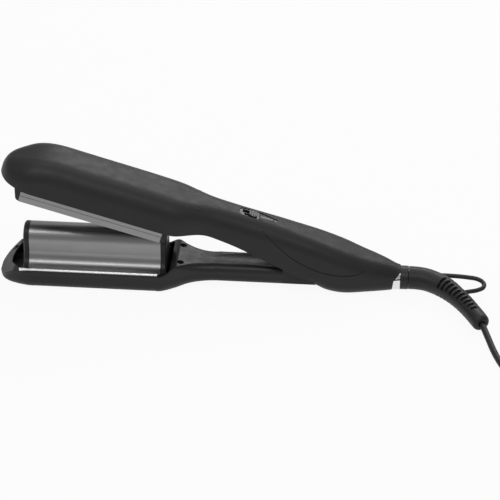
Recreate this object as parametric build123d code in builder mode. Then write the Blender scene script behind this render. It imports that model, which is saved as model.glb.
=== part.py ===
"""Hair waver: a main arm with handle, and a lower arm that swings on a pin inside the handle.

Millimetres, +Z up.  Origin on the floor under the middle of the lower jaw, jaw tips towards -X,
cord towards +X.  Both arms are drawn open, as the waver rests.
"""
import os
from math import cos, hypot, pi, radians, sin, tan

from build123d import *

os.makedirs("parts", exist_ok=True)

# ---- overall sizes ---------------------------------------------------------------------------
HINGE_X = 155.0
HINGE_Z = 36.0
OPEN_ANGLE = 16.8
JAW_HALF = 25.0
NECK_HALF = 13.0
WALL = 2.2
FIT = 0.05
NECK_GAP = 0.8
HOUSING_NECK = NECK_HALF + WALL + NECK_GAP

# ---- lower arm -------------------------------------------------------------------------------
RIM_Z = 15.5
NECK_Z = 20.5
PARTING_Z = 13.0
TAIL_X = 172.0
WELL_FRONT_X = -66.7
WELL_REAR_X = 59.5
RIM_WIDTH = 3.2
WELL_HALF = JAW_HALF - RIM_WIDTH
RAIL_WIDTH = 1.4
RAIL_TOP = 17.8
EAR_INNER = 9.0
EAR_RADIUS = 7.0

# ---- wave plates -----------------------------------------------------------------------------
WAVE_HALF = 11.3
CROWN_Z = 34.2
FLARE_Z = 27.2
FLARE_RADIUS = 9.9
FLARE_REACH = WAVE_HALF + FLARE_RADIUS
PLATE_WALL = 1.2
PLATE_GAP = 0.6
LAND_REACH = WELL_HALF - PLATE_GAP
LOWER_PLATE_X = (-51.0, 51.5)
LOWER_CAP = 4.6
FLOAT = 2.0
UPPER_PLATE_X = (-58.8, 53.2)
FLANK_HALF = JAW_HALF - 1.0
FLANK_TOP = 26.7
CARRIER_Z = 27.0
CARRIER_THICK = 2.0

# ---- hinge, controls and cord ------------------------------------------------------------------
PIN_RADIUS = 2.0
BUSH_RADIUS = 3.5
PIN_BOSS = 2.8
PIN_BOSS_GAP = 0.3
PIN_HALF = NECK_HALF + PIN_BOSS_GAP + 2.4
BEZEL_TOP = 51.4
SWITCH_TRAVEL = 5.0
BUTTON_TRAVEL = 0.8
RING_X = 237.0
RING_HALF = 9.2
SPIGOT_RADIUS = RING_HALF - WALL - 0.4
COLLAR_X = RING_X + 6.5
CORD_AXIS_Z = 9.9
STEM_RADIUS = 5.0
STEM_REACH = 7.0
CORD_DIAMETER = 5.0
COIL_X = COLLAR_X + 122.5
COIL_Y = -112.0
COIL_RADIUS = 28.0

COS = cos(radians(OPEN_ANGLE))
SIN = sin(radians(OPEN_ANGLE))
CURVE = 0.5523


def opened(x, y, z):
    """Where a point of the closed main arm lies once the arm is open."""
    dx = x - HINGE_X
    dz = z - HINGE_Z
    return (HINGE_X + dx * COS + dz * SIN, y, HINGE_Z - dx * SIN + dz * COS)


def arm_side(y=0):
    """Side view of the main arm, in its closed coordinates (x, z)."""
    return Plane(origin=opened(0, y, 0), x_dir=(COS, 0, -SIN), z_dir=(0, -1, 0))


def arm_top(z):
    """View on the main arm from above at height z, in its closed coordinates (x, y)."""
    return Plane(origin=opened(0, 0, z), x_dir=(COS, 0, -SIN), z_dir=(SIN, 0, COS))


def arm_section(x):
    """Cross-section of the main arm at x, in its closed coordinates (y, z)."""
    return Plane(origin=opened(x, 0, 0), x_dir=(0, 1, 0), z_dir=(COS, 0, -SIN))


def side_view(y=0):
    """Plane.XZ drawn as (x, z) at the given y."""
    return Plane(origin=(0, y, 0), x_dir=(1, 0, 0), z_dir=(0, -1, 0))


def section_at(x):
    return Plane(origin=(x, 0, 0), x_dir=(0, 1, 0), z_dir=(1, 0, 0))


def save(part, name):
    part.label = name
    export_step(part, f"parts/{name}.step")


# ---- ribs: closed sections that the shells are lofted through --------------------------------
def rib(plane, half, foot, head, shoulder, base):
    """Flat top with round shoulders, straight sides and round lower corners."""
    low = min(base, half * 0.9, (head - foot) * 0.48)
    top = min(shoulder, half * 0.9, head - foot - low - 0.3)
    with BuildSketch(plane) as section:
        with BuildLine():
            Line((low - half, foot), (half - low, foot))
            k = CURVE * low
            Bezier((half - low, foot), (half - low + k, foot), (half, foot + low - k), (half, foot + low))
            Line((half, foot + low), (half, head - top))
            k = CURVE * top
            Bezier((half, head - top), (half, head - top + k), (half - top + k, head), (half - top, head))
            Line((half - top, head), (top - half, head))
            Bezier((top - half, head), (top - half - k, head), (-half, head - top + k), (-half, head - top))
            Line((-half, head - top), (-half, foot + low))
            k = CURVE * low
            Bezier((-half, foot + low), (-half, foot + low - k), (low - half - k, foot), (low - half, foot))
        make_face()
    return section.sketch


# closed coordinates: x, half width, foot, head, shoulder radius
ARM_RIBS = [
    (-78.0, JAW_HALF - 22.8, 24, 31.5, 2), (-77.3, JAW_HALF - 19.1, 24, 34.8, 5.3),
    (-75.5, JAW_HALF - 14.3, 24, 38.6, 9.6), (-71.8, JAW_HALF - 8.7, 24, 41.8, 13),
    (-65.0, JAW_HALF - 3.7, 24, 45.6, 15.5), (-58.0, JAW_HALF - 0.8, 24, 48.9, 16),
    (-50.0, JAW_HALF, 24, 51.6, 16), (-40.0, JAW_HALF, 24, 53.3, 16),
    (-25.0, JAW_HALF, 24, 53.5, 16), (15.0, JAW_HALF, 24, 53.2, 16),
    (50.0, JAW_HALF, 24, 52.6, 16), (60.0, JAW_HALF - 0.7, 24, 52.2, 15.5),
    (68.0, JAW_HALF - 3.0, 23.5, 52.0, 14.5), (77.0, HOUSING_NECK + 2.9, 23, 52.0, 13.5),
    (85.0, HOUSING_NECK + 1.0, 22, 52.0, 13), (95.0, HOUSING_NECK + 0.2, 20.5, 52.1, 13),
    (110.0, HOUSING_NECK, 18, 52.0, 13), (138.0, HOUSING_NECK + 0.5, 12, 51.9, 13),
    (160.0, HOUSING_NECK + 1.4, 6, 50.9, 12.5)]
# foot x and z, head x and z, half width, shoulder radius; each x is measured back from the trim ring
HANDLE_RIBS = [
    (74.0, 6.4, 65.5, 46.1, HOUSING_NECK + 1.6, 12), (59.0, 3.2, 54.0, 41.6, HOUSING_NECK + 2.0, 12),
    (44.0, 0.1, 41.5, 36.4, HOUSING_NECK + 1.8, 12), (30.0, 0.4, 29.0, 31.0, 16.5, 12),
    (18.0, 0.8, 17.8, 27.0, 14.0, 11), (8.0, 0.8, 8.0, 23.2, 11.0, 10),
    (-0.5, 0.7, -0.5, 19.6, RING_HALF, 8.9)]


def arm_form(inset):
    """Whole form of the main arm, or the same form a wall thickness smaller."""
    ribs = []
    nose_x = ARM_RIBS[6][0]
    for x, half, foot, head, shoulder in ARM_RIBS:
        if x < nose_x:
            x = nose_x + (x - nose_x) * (1 - inset / JAW_HALF)
        if half - inset > 0.5:
            ribs.append(rib(arm_section(x), half - inset, foot + inset, head - inset,
                            max(shoulder - inset, 0.5), 3))
    for foot_back, foot_z, head_back, head_z, half, shoulder in HANDLE_RIBS:
        foot_x = RING_X - foot_back
        head_x = RING_X - head_back
        height = hypot(head_x - foot_x, head_z - foot_z)
        rise_x = (head_x - foot_x) / height
        rise_z = (head_z - foot_z) / height
        leaning = Plane(origin=(foot_x, 0, foot_z), x_dir=(0, 1, 0), z_dir=(rise_z, 0, -rise_x))
        ribs.append(rib(leaning, half - inset, inset, height - inset, shoulder - inset, shoulder - 1))
    with BuildPart() as form:
        loft(ribs)
    return form.part


# x, half width, bottom, lower corner radius, top, upper corner radius
JAW_RIB = (JAW_HALF, 0, 9.0, RIM_Z, 0.6)
NECK_RIB = (NECK_HALF, 5.0, 6.0, NECK_Z, 6.0)
NOSE_RIBS = [
    (-75.5, JAW_HALF - 19.5, 2.6, 1.2, RIM_Z, 0.6), (-74.3, JAW_HALF - 15.5, 1.9, 2.0, RIM_Z, 0.6),
    (-71.5, JAW_HALF - 10.0, 1.2, 3.5, RIM_Z, 0.6), (-66.0, JAW_HALF - 5.2, 0.5, 5.5, RIM_Z, 0.6),
    (-58.0, JAW_HALF - 1.4, 0.1, 7.5, RIM_Z, 0.6), (-52.0, JAW_HALF - 0.2, 0, 8.6, RIM_Z, 0.6),
    (-46.0, *JAW_RIB)]
SHOULDER_RIBS = [
    (48.0, *JAW_RIB), (54.0, JAW_HALF - 0.3, 0.1, 9.0, 16.6, 0.8),
    (58.0, JAW_HALF - 1.3, 0.3, 9.0, 19.2, 1.0), (62.0, JAW_HALF - 3.2, 0.7, 8.9, 22.2, 1.5),
    (66.0, JAW_HALF - 5.4, 1.3, 8.5, 22.9, 2.5), (74.0, NECK_HALF + 2.9, 2.9, 7.5, 21.6, 4.5),
    (84.0, NECK_HALF + 0.7, 4.3, 6.5, NECK_Z, 6.0), (96.0, *NECK_RIB)]


def tray_rib(x, inset, half, bottom, corner, top, shoulder):
    return rib(section_at(x), half - inset, bottom + inset, top - inset,
               max(shoulder - inset, 0.4), max(corner - inset, 0.6))


def tray_form(inset):
    """Whole form of the lower arm, or the same form a wall thickness smaller."""
    jaw_front = NOSE_RIBS[-1][0]
    jaw_rear, neck_front = SHOULDER_RIBS[0][0], SHOULDER_RIBS[-1][0]
    pull = 1 - inset / JAW_HALF
    nose = [tray_rib(jaw_front + (x - jaw_front) * pull, inset, *size) for x, *size in NOSE_RIBS]
    shoulder = [tray_rib(x, inset, *size) for x, *size in SHOULDER_RIBS]
    brow = 5
    with BuildPart() as form:
        loft(nose)
        extrude(tray_rib(jaw_front, inset, *JAW_RIB), amount=jaw_rear - jaw_front)
        loft(shoulder[:brow])
        loft(shoulder[brow - 1:])
        extrude(tray_rib(neck_front, inset, *NECK_RIB), amount=TAIL_X - inset - neck_front)
    return form.part


def wave_face(plane, offset, bottom, reach=LAND_REACH):
    """Everything under the wave line: a round-topped hump that flares out to flat lands."""
    half = WAVE_HALF + offset
    land = FLARE_Z - FLARE_RADIUS + offset
    bend = (FLARE_REACH - half) * sin(pi / 4)
    with BuildSketch(plane) as face:
        with BuildLine():
            ThreePointArc((-FLARE_REACH, land), (bend - FLARE_REACH, FLARE_Z - bend), (-half, FLARE_Z))
            Line((-half, FLARE_Z), (-half, CROWN_Z))
            ThreePointArc((-half, CROWN_Z), (0, CROWN_Z + half), (half, CROWN_Z))
            Line((half, CROWN_Z), (half, FLARE_Z))
            ThreePointArc((half, FLARE_Z), (FLARE_REACH - bend, FLARE_Z - bend), (FLARE_REACH, land))
            if reach > FLARE_REACH + 0.01:
                Polyline((FLARE_REACH, land), (reach, land), (reach, bottom))
                Polyline((-reach, bottom), (-reach, land), (-FLARE_REACH, land))
            else:
                reach = FLARE_REACH
                Line((reach, land), (reach, bottom))
                Line((-reach, bottom), (-reach, land))
            Line((reach, bottom), (-reach, bottom))
        make_face()
    return face.sketch


def tall_face(plane, offset, bottom):
    """The hump alone: straight sides and a round top."""
    half = WAVE_HALF + offset
    with BuildSketch(plane) as face:
        with BuildLine():
            Polyline((-half, CROWN_Z), (-half, bottom), (half, bottom), (half, CROWN_Z))
            ThreePointArc((half, CROWN_Z), (0, CROWN_Z + half), (-half, CROWN_Z))
        make_face()
    return face.sketch


def prism(plane, points, half=40):
    """A side-view outline carried right across the width."""
    with BuildPart() as block:
        with BuildSketch(plane):
            with BuildLine():
                Polyline(*points, close=True)
            make_face()
        extrude(amount=half, both=True)
    return block.part


def disc(plane, radius, length, centre=(0, 0)):
    """A round bar standing on a plane."""
    with BuildPart() as bar:
        with BuildSketch(plane):
            with Locations(centre):
                Circle(radius)
        extrude(amount=length)
    return bar.part


def floor(z):
    return Plane.XY.offset(z)


def facing_down(z):
    """Plane that looks down, at height -z."""
    return Plane(origin=(0, 0, -z), x_dir=(1, 0, 0), z_dir=(0, 0, -1))


def arm_down(z):
    """Plane that looks down square to the closed main arm, at height -z there."""
    return Plane(origin=opened(0, 0, -z), x_dir=(COS, 0, -SIN), z_dir=(-SIN, 0, -COS))


# ---- lower arm -------------------------------------------------------------------------------
TRAY = tray_form(0)
TRAY_CORE = tray_form(WALL)
EAR_FRONT_X = HINGE_X - 9.0
TRAY_PARTING = [(-80, -2), (-75.5, 1.9), (-61.5, PARTING_Z), (EAR_FRONT_X, PARTING_Z)]
OVER_JAW = prism(side_view(), TRAY_PARTING + [(EAR_FRONT_X, 40), (-80, 40)])
OVER_TAIL = prism(side_view(), [(EAR_FRONT_X, PARTING_Z), (180, PARTING_Z), (180, 40), (EAR_FRONT_X, 40)],
                  EAR_INNER - 0.1)
OVER_RAMP = prism(side_view(), [(-80, 0.7), (-62.5, RIM_Z), (-62.5, 30), (-80, 30)])
RAMP_SKIN = prism(side_view(), [(-80, 0.7), (-62.5, RIM_Z), (-56, RIM_Z), (-56, RIM_Z - WALL),
                                (-61.7, RIM_Z - WALL), (-80, -WALL)])
EAR_TOP = HINGE_Z + 4.8
EAR = [(EAR_FRONT_X, 8), (EAR_FRONT_X, 17.5), (HINGE_X - 5.1, EAR_TOP), (HINGE_X + 5.1, EAR_TOP),
       (HINGE_X + 15, 20), (HINGE_X + 15, 8)]
PEG_X = 30.0
PEG_RADIUS = 2.5
PAD_X = 42.0
PAD_Y = 11.0
# x, y, height of the surface round the screw, foot of the boss
COVER_SCREWS = [(67.0, 11.7, 22.4, 3.0), (67.0, -11.7, 22.4, 3.0), (-66.4, 13.7, 12.2, 1.6)]
SCREW_RECESS = 2.8
SCREW_HEAD = 2.3
SCREW_SHANK = 1.2


def build_lower_shell():
    """Bottom tray of the jaw, running back as a channel that ends in the two hinge ears."""
    with BuildPart() as lower_shell:
        add(TRAY)
        add(TRAY_CORE, mode=Mode.SUBTRACT)
        for x, y, top, foot in COVER_SCREWS:
            add(disc(floor(foot), 3, top - SCREW_RECESS - 2.5 - foot, (x, y)))
        add(OVER_JAW, mode=Mode.SUBTRACT)
        add(OVER_TAIL, mode=Mode.SUBTRACT)
        for side in (-1, 1):
            with BuildSketch(side_view(side * (EAR_INNER + NECK_HALF) / 2)):
                with BuildLine():
                    Polyline(*EAR, close=True)
                make_face()
                with Locations((HINGE_X, HINGE_Z)):
                    Circle(EAR_RADIUS)
            extrude(amount=(NECK_HALF - EAR_INNER) / 2, both=True)
        with BuildSketch(side_view()):
            with Locations((HINGE_X, HINGE_Z)):
                Circle(BUSH_RADIUS)
        extrude(amount=40, both=True, mode=Mode.SUBTRACT)
        for x in (-PEG_X, PEG_X):
            add(disc(floor(1.5), 5, 8.5, (x, 0)))
            add(disc(floor(3.5), PEG_RADIUS + FIT, 10, (x, 0)), mode=Mode.SUBTRACT)
        for x, y, top, foot in COVER_SCREWS:
            add(disc(floor(foot + 1.5), SCREW_SHANK, 20, (x, y)), mode=Mode.SUBTRACT)
        add(prism(side_view(), [(-80, 0), (180, 0), (180, -5), (-80, -5)]), mode=Mode.SUBTRACT)
    return lower_shell.part


def build_lower_cover():
    """Top of the lower arm: sloping nose, rim round the well, shoulder and dished neck."""
    dish = 23.4
    skin = TRAY & RAMP_SKIN
    with BuildPart() as lower_cover:
        add(TRAY)
        add(TRAY_CORE, mode=Mode.SUBTRACT)
        add(skin)
        with BuildSketch(floor(16.2)):
            with Locations((112, 0)):
                Rectangle(76, 18)
        extrude(amount=2.6)
        for x, y, top, foot in COVER_SCREWS:
            add(disc(floor(top - SCREW_RECESS - 2.5), 3.2, 3.6, (x, y)))
        add(OVER_RAMP, mode=Mode.SUBTRACT)
        with BuildSketch(floor(PARTING_Z - 12)):
            with BuildLine():
                ThreePointArc((-53.9, WELL_HALF), (WELL_FRONT_X, 0), (-53.9, -WELL_HALF))
                FilletPolyline((-53.9, -WELL_HALF), (WELL_REAR_X, -WELL_HALF), (WELL_REAR_X, WELL_HALF),
                               (-53.9, WELL_HALF), radius=3)
            make_face()
        extrude(amount=40, mode=Mode.SUBTRACT)
        with BuildSketch(Plane(origin=(82, 0, NECK_Z + dish), x_dir=(0, 1, 0), z_dir=(1, 0, -0.035))):
            Circle(dish)
        extrude(amount=100, mode=Mode.SUBTRACT)
        for x, y, top, foot in COVER_SCREWS:
            add(disc(floor(top - SCREW_RECESS), SCREW_HEAD + 0.3, 10, (x, y)), mode=Mode.SUBTRACT)
            add(disc(floor(0), SCREW_SHANK + 0.2, 30, (x, y)), mode=Mode.SUBTRACT)
    kept = lower_cover.part & (OVER_JAW + OVER_TAIL)
    return kept


def screws(places, head, shank, length, plane_at, drop=1.6):
    """Pan-head screws with a cross recess, one for each place."""
    with BuildPart() as bodies:
        for x, y, z in places:
            with BuildSketch(plane_at(z)):
                with Locations((x, y)):
                    Circle(head)
            extrude(amount=drop)
            with BuildSketch(plane_at(z)):
                with Locations((x, y)):
                    Circle(shank)
            extrude(amount=-length)
            with BuildSketch(plane_at(z + drop)):
                with Locations((x, y)):
                    Rectangle(head * 1.3, 0.5)
                    Rectangle(0.5, head * 1.3)
            extrude(amount=-0.8, mode=Mode.SUBTRACT)
    return bodies.part


def build_rails():
    """Bright strips that stand on the rim along both sides of the well."""
    length = 108
    with BuildPart() as rails:
        with BuildSketch(floor(RIM_Z)):
            with Locations((-4, WELL_HALF + RAIL_WIDTH / 2), (-4, -WELL_HALF - RAIL_WIDTH / 2)):
                RectangleRounded(length, RAIL_WIDTH, 0.6)
        extrude(amount=RAIL_TOP - RIM_Z)
        chamfer(rails.edges().group_by(Axis.Z)[-1], 0.3)
    return rails.part


def build_bushes():
    with BuildPart() as bushes:
        for side in (-1, 1):
            with BuildSketch(side_view(side * (EAR_INNER + NECK_HALF) / 2)):
                with Locations((HINGE_X, HINGE_Z)):
                    Circle(BUSH_RADIUS)
                    Circle(PIN_RADIUS + FIT, mode=Mode.SUBTRACT)
            extrude(amount=(NECK_HALF - EAR_INNER) / 2 + 0.2, both=True)
    return bushes.part


# ---- floating lower heater ---------------------------------------------------------------------
CARRIER_BOTTOM = 13.0
CORE_BOTTOM = 22.0
CORE_X = 44.0


def build_lower_plate():
    """Sheet wave plate: hump, flares and narrow lands, open underneath."""
    front, rear = LOWER_PLATE_X
    with BuildPart() as lower_wave_plate:
        extrude(wave_face(section_at(front), 0, 10), amount=rear - front)
        extrude(wave_face(section_at(front), -PLATE_WALL, 9), amount=rear - front, mode=Mode.SUBTRACT)
    return lower_wave_plate.part


def build_lower_cap(x, outward):
    """End cap with the outline of the wave plate and a rounded outer edge."""
    with BuildPart() as cap:
        extrude(wave_face(section_at(x), 0, 14), amount=outward * LOWER_CAP)
        outer = cap.faces().sort_by(Axis.X)[-1 if outward > 0 else 0]
        chamfer(outer.edges().sort_by(Axis.Z)[1:], 1.1)
    return cap.part & disc(floor(10), JAW_HALF - 0.7, 50, (x + outward * (LOWER_CAP - 14.4), 0))


def build_lower_carrier():
    """Heat-proof carrier under the plate, with a rib for the heater and two guide pegs."""
    front, rear = LOWER_PLATE_X
    land = FLARE_Z - FLARE_RADIUS - PLATE_WALL
    with BuildPart() as lower_carrier:
        with BuildSketch(floor(CARRIER_BOTTOM)):
            with Locations(((front + rear) / 2, 0)):
                Rectangle(rear - front, 2 * LAND_REACH - 1)
        extrude(amount=land - CARRIER_BOTTOM)
        with BuildSketch(floor(land)):
            Rectangle(2 * CORE_X, 14)
        extrude(amount=CORE_BOTTOM - land)
        for x in (-PEG_X, PEG_X):
            add(disc(floor(6), PEG_RADIUS, CARRIER_BOTTOM - 5.5, (x, 0)))
    return lower_carrier.part


def build_lower_core():
    """Aluminium heater block that fills the hump."""
    with BuildPart() as core:
        extrude(tall_face(section_at(-CORE_X), -PLATE_WALL - FIT, CORE_BOTTOM), amount=2 * CORE_X)
        with BuildSketch(floor(CORE_BOTTOM)):
            Rectangle(2 * CORE_X, 10)
        extrude(amount=4, mode=Mode.SUBTRACT)
    return core.part


def build_lower_strip():
    with BuildPart() as strip:
        with BuildSketch(floor(CORE_BOTTOM)):
            Rectangle(2 * CORE_X - 4, 10 - 2 * FIT)
        extrude(amount=4)
    return strip.part


def build_cushions():
    """Hollow silicone cushions that carry the floating heater."""
    with BuildPart() as cushions:
        for x in (-PAD_X, PAD_X):
            for y in (-PAD_Y, PAD_Y):
                add(disc(floor(WALL), 4, CARRIER_BOTTOM - WALL, (x, y)))
                add(disc(floor(WALL), 2.4, CARRIER_BOTTOM - WALL, (x, y)), mode=Mode.SUBTRACT)
    return cushions.part


# ---- main arm --------------------------------------------------------------------------------
ARM = arm_form(0)
ARM_CORE = arm_form(WALL)
ARM_LINING = arm_form(WALL + FIT)
GROOVE_WIDTH = 0.9
GROOVE_DEPTH = 0.45
ARM_SKIN = arm_form(GROOVE_DEPTH)
COVER_FRONT_X = HINGE_X + 17.4
BEVEL_Z = 10.4
BEVEL_REAR_X = COVER_FRONT_X + 13
HANDLE_SEAM_Z = 12.6
RING_FOOT_X = RING_X - 6.6
RING_FRONT = [(RING_FOOT_X, 0.4), (RING_X - 5, HANDLE_SEAM_Z), (RING_X, 18.1)]
UNDER_EDGE = [(86, 52), (94.4, 48.9), (113.6, 40.3), (130.6, 31.3), (144.5, 24.6), (156, 18.4), (171.7, 13.4)]
CREASE = [(130.6, 55.8), (140.7, 46.4), (154.6, 34.1), (166, 27.5), (178, 22.9), (189.5, 21.2), (201, 21.7),
          (209.6, 24.3)]
BEYOND_RING = [(RING_X, 40), (RING_X + 8, 40), (RING_X + 8, -5), (RING_FOOT_X, -5)]
HANDLE_SCREWS = [(184.0, 0.0), (216.0, 0.0)]
SCREW_DEPTH = 6.0
BOSS_TOP = 46.0
CAP_FRONT_X = -64.2
REAR_CAP_X = 57.2
CAP_WALL = 2.0
CROWN_OFFSET = PLATE_GAP + PLATE_WALL + 1.0


def under_arm():
    """Everything below the lower edge of the housing: jaw edge, swept neck edge, handle seam."""
    front = opened(-90, 0, CARRIER_Z)
    knee = opened(60, 0, CARRIER_Z)
    with BuildPart() as region:
        with BuildSketch(side_view()):
            with BuildLine():
                Line((front[0], front[2]), (knee[0], knee[2]))
                Spline((knee[0], knee[2]), *UNDER_EDGE, tangents=[(COS, -SIN), (1, -0.3)])
                Polyline(UNDER_EDGE[-1], (COVER_FRONT_X, HANDLE_SEAM_Z), RING_FRONT[1], (RING_X - 5, -30),
                         (front[0], -30), (front[0], front[2]))
            make_face()
        extrude(amount=40, both=True)
    return region.part


def crease_band():
    """Smile-shaped line carried across the width."""
    with BuildPart() as band:
        with BuildSketch(side_view()):
            with BuildLine():
                Spline(*CREASE)
                below = [(x, z - GROOVE_WIDTH) for x, z in CREASE]
                Spline(*below)
                Line(CREASE[0], below[0])
                Line(CREASE[-1], below[-1])
            make_face()
        extrude(amount=40, both=True)
    return band.part


# control panel in closed coordinates on the neck
# x, y and radius of the rounds that the outline of the panel is drawn round
PANEL_ROUNDS = [(108.6, 1.7, 3.0), (119.0, 2.4, 2.8), (134.8, 0.0, 1.6)]
PANEL_LIP = 1.3
LIP_TOP = 49.2
LIP_BOTTOM = 47.9
KNOB = (112.9, 119.6)
KNOB_HALF = 3.6
KNOB_TOP = 52.9
KNOB_GAP = 0.1
STEM_HALF = 1.2
TRACK_FLOOR = 49.9
BUTTON = [(121.2, 3.8), (133.2, 1.3)]
BUTTON_TOP = 51.6
BUTTON_GAP = 0.2
LENS_X = (122.6, 132.0)
LENS_HALF = 0.6
BOARD_Z = 40.4
BOARD_TOP = 42.0
BOARD_X = (96.0, 129.0)
TACT_X = 126.5


def panel(plane, grow):
    """Boat-shaped outline of the control panel."""
    with BuildSketch(plane) as outline:
        for x, y, radius in PANEL_ROUNDS:
            with Locations((x, y), (x, -y)):
                Circle(radius + grow)
        make_hull()
    return outline.sketch


def taper(plane, grow):
    """Tapered outline of the push button."""
    (front, wide), (rear, narrow) = BUTTON
    with BuildSketch(plane) as outline:
        with BuildLine():
            left, right = front - grow, rear + grow
            Polyline((left, wide + grow), (right, narrow + grow), (right, -narrow - grow), (left, -wide - grow),
                     close=True)
        make_face()
    return outline.sketch


def slab(plane, x0, x1, half, height):
    """Rectangular block standing on a plane."""
    with BuildPart() as block:
        with BuildSketch(plane):
            with Locations(((x0 + x1) / 2, 0)):
                Rectangle(x1 - x0, 2 * half)
        extrude(amount=height)
    return block.part


BOARD_POSTS = [(99.5, 9.0), (99.5, -9.0), (122.5, 9.0), (122.5, -9.0)]
POST_FOOT = 32.0
NECK_SEAT = 30.4
NECK_SCREWS = [(72.0, 10.0), (72.0, -10.0)]
COVER_WALL = 2.2
NECK_COVER = [(59.3, 27.4), (70, 29.6), (85, 32), (110, 30.4), (118, 31), (141, 44.5), (163, 45)]


def build_upper_housing():
    """Long upper shell of the main arm from the jaw tip to the cord end."""
    crown = tall_face(arm_section(UPPER_PLATE_X[0] - FIT), PLATE_GAP + PLATE_WALL + FIT, CARRIER_Z)
    groove = crease_band() - ARM_SKIN
    cover_top = [(x, z + COVER_WALL) for x, z in NECK_COVER]
    beneath_cover = prism(arm_side(), cover_top + [(163, 0), (59.3, 0)])
    with BuildPart() as upper_housing:
        add(ARM)
        add(ARM_CORE, mode=Mode.SUBTRACT)
        add(groove, mode=Mode.SUBTRACT)
        for x, y in NECK_SCREWS:
            add(disc(arm_top(30), 3, 20.6, (x, y)) - beneath_cover)
        for x, y in HANDLE_SCREWS:
            add(disc(floor(SCREW_DEPTH + 2.2), 3.4, BOSS_TOP - SCREW_DEPTH, (x, y)) & ARM_SKIN)
        for side in (-1, 1):
            with BuildSketch(side_view(side * (NECK_HALF + PIN_BOSS_GAP + PIN_BOSS / 2))):
                with Locations((HINGE_X, HINGE_Z)):
                    Circle(5.5)
            extrude(amount=PIN_BOSS / 2, both=True)
        with BuildSketch(side_view()):
            with Locations((HINGE_X, HINGE_Z)):
                Circle(PIN_RADIUS)
        extrude(amount=PIN_HALF + 0.1, both=True, mode=Mode.SUBTRACT)
        extrude(crown, amount=14, mode=Mode.SUBTRACT)
        extrude(panel(arm_top(LIP_TOP), PANEL_LIP + FIT), amount=-3, mode=Mode.SUBTRACT)
        extrude(panel(arm_top(LIP_TOP - 1), FIT), amount=6, mode=Mode.SUBTRACT)
        for x, y in NECK_SCREWS:
            add(disc(arm_top(30), SCREW_SHANK, 12, (x, y)), mode=Mode.SUBTRACT)
        for x, y in HANDLE_SCREWS:
            add(disc(floor(SCREW_DEPTH), SCREW_SHANK, 12, (x, y)), mode=Mode.SUBTRACT)
        add(under_arm(), mode=Mode.SUBTRACT)
        add(prism(side_view(), RING_FRONT + BEYOND_RING), mode=Mode.SUBTRACT)
    return upper_housing.part


def build_handle_cover():
    """Belly of the handle; its bevelled front block stops the lower arm."""
    bevel = [(COVER_FRONT_X, BEVEL_Z), (BEVEL_REAR_X, 0.2)]
    region = bevel + [(BEVEL_REAR_X, -5), (RING_FOOT_X, -5), RING_FRONT[0], RING_FRONT[1],
                      (COVER_FRONT_X, HANDLE_SEAM_Z)]
    block = prism(side_view(), bevel + [(BEVEL_REAR_X, 3), (COVER_FRONT_X + 4, HANDLE_SEAM_Z),
                                        (COVER_FRONT_X, HANDLE_SEAM_Z)])
    with BuildPart() as handle_cover:
        add(ARM)
        add(ARM_CORE, mode=Mode.SUBTRACT)
        add(ARM & block)
        for x, y in HANDLE_SCREWS:
            add(disc(floor(1.4), 4, SCREW_DEPTH + 0.8, (x, y)))
            add(disc(floor(-2), SCREW_HEAD + 0.3, SCREW_DEPTH + 2, (x, y)), mode=Mode.SUBTRACT)
            add(disc(floor(0), SCREW_SHANK + 0.2, 12, (x, y)), mode=Mode.SUBTRACT)
    return handle_cover.part & prism(side_view(), region)


def build_neck_cover():
    """Inner cover that closes the underside of the neck and carries the circuit board."""
    upper = [(x, z + COVER_WALL) for x, z in reversed(NECK_COVER)]
    band = ARM_LINING & prism(arm_side(), NECK_COVER + upper, 25)
    with BuildPart() as neck_cover:
        add(band)
        for x, y in BOARD_POSTS:
            add(disc(arm_top(POST_FOOT), 2.4, BOARD_Z - POST_FOOT, (x, y)))
        for x, y in BOARD_POSTS:
            add(disc(arm_top(BOARD_Z - 6), 1.0, 8, (x, y)), mode=Mode.SUBTRACT)
        for x, y in NECK_SCREWS:
            add(disc(arm_top(24), SCREW_HEAD + 0.3, NECK_SEAT - 24, (x, y)), mode=Mode.SUBTRACT)
            add(disc(arm_top(28), SCREW_SHANK + 0.2, 6, (x, y)), mode=Mode.SUBTRACT)
    return neck_cover.part


def build_upper_plate():
    """Upper wave plate with its two straight flanks, each with a fine line along it."""
    front, rear = UPPER_PLATE_X
    land = FLARE_Z - FLARE_RADIUS + PLATE_GAP
    line_z = land + 0.6 * (FLANK_TOP - land)
    with BuildPart() as upper_wave_plate:
        extrude(wave_face(arm_section(front), PLATE_GAP + PLATE_WALL, 10, FLANK_HALF), amount=rear - front)
        with BuildSketch(arm_section(front)):
            mid = (land + FLANK_TOP) / 2
            with Locations((FLANK_HALF - 0.75, mid), (0.75 - FLANK_HALF, mid)):
                Rectangle(1.5, FLANK_TOP - land)
            with Locations((FLANK_HALF, line_z), (-FLANK_HALF, line_z)):
                Rectangle(0.6, 0.4, mode=Mode.SUBTRACT)
        extrude(amount=rear - front)
        under = wave_face(arm_section(front), PLATE_GAP, 9, FLANK_HALF + 1)
        extrude(under, amount=rear - front, mode=Mode.SUBTRACT)
    return upper_wave_plate.part


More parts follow.
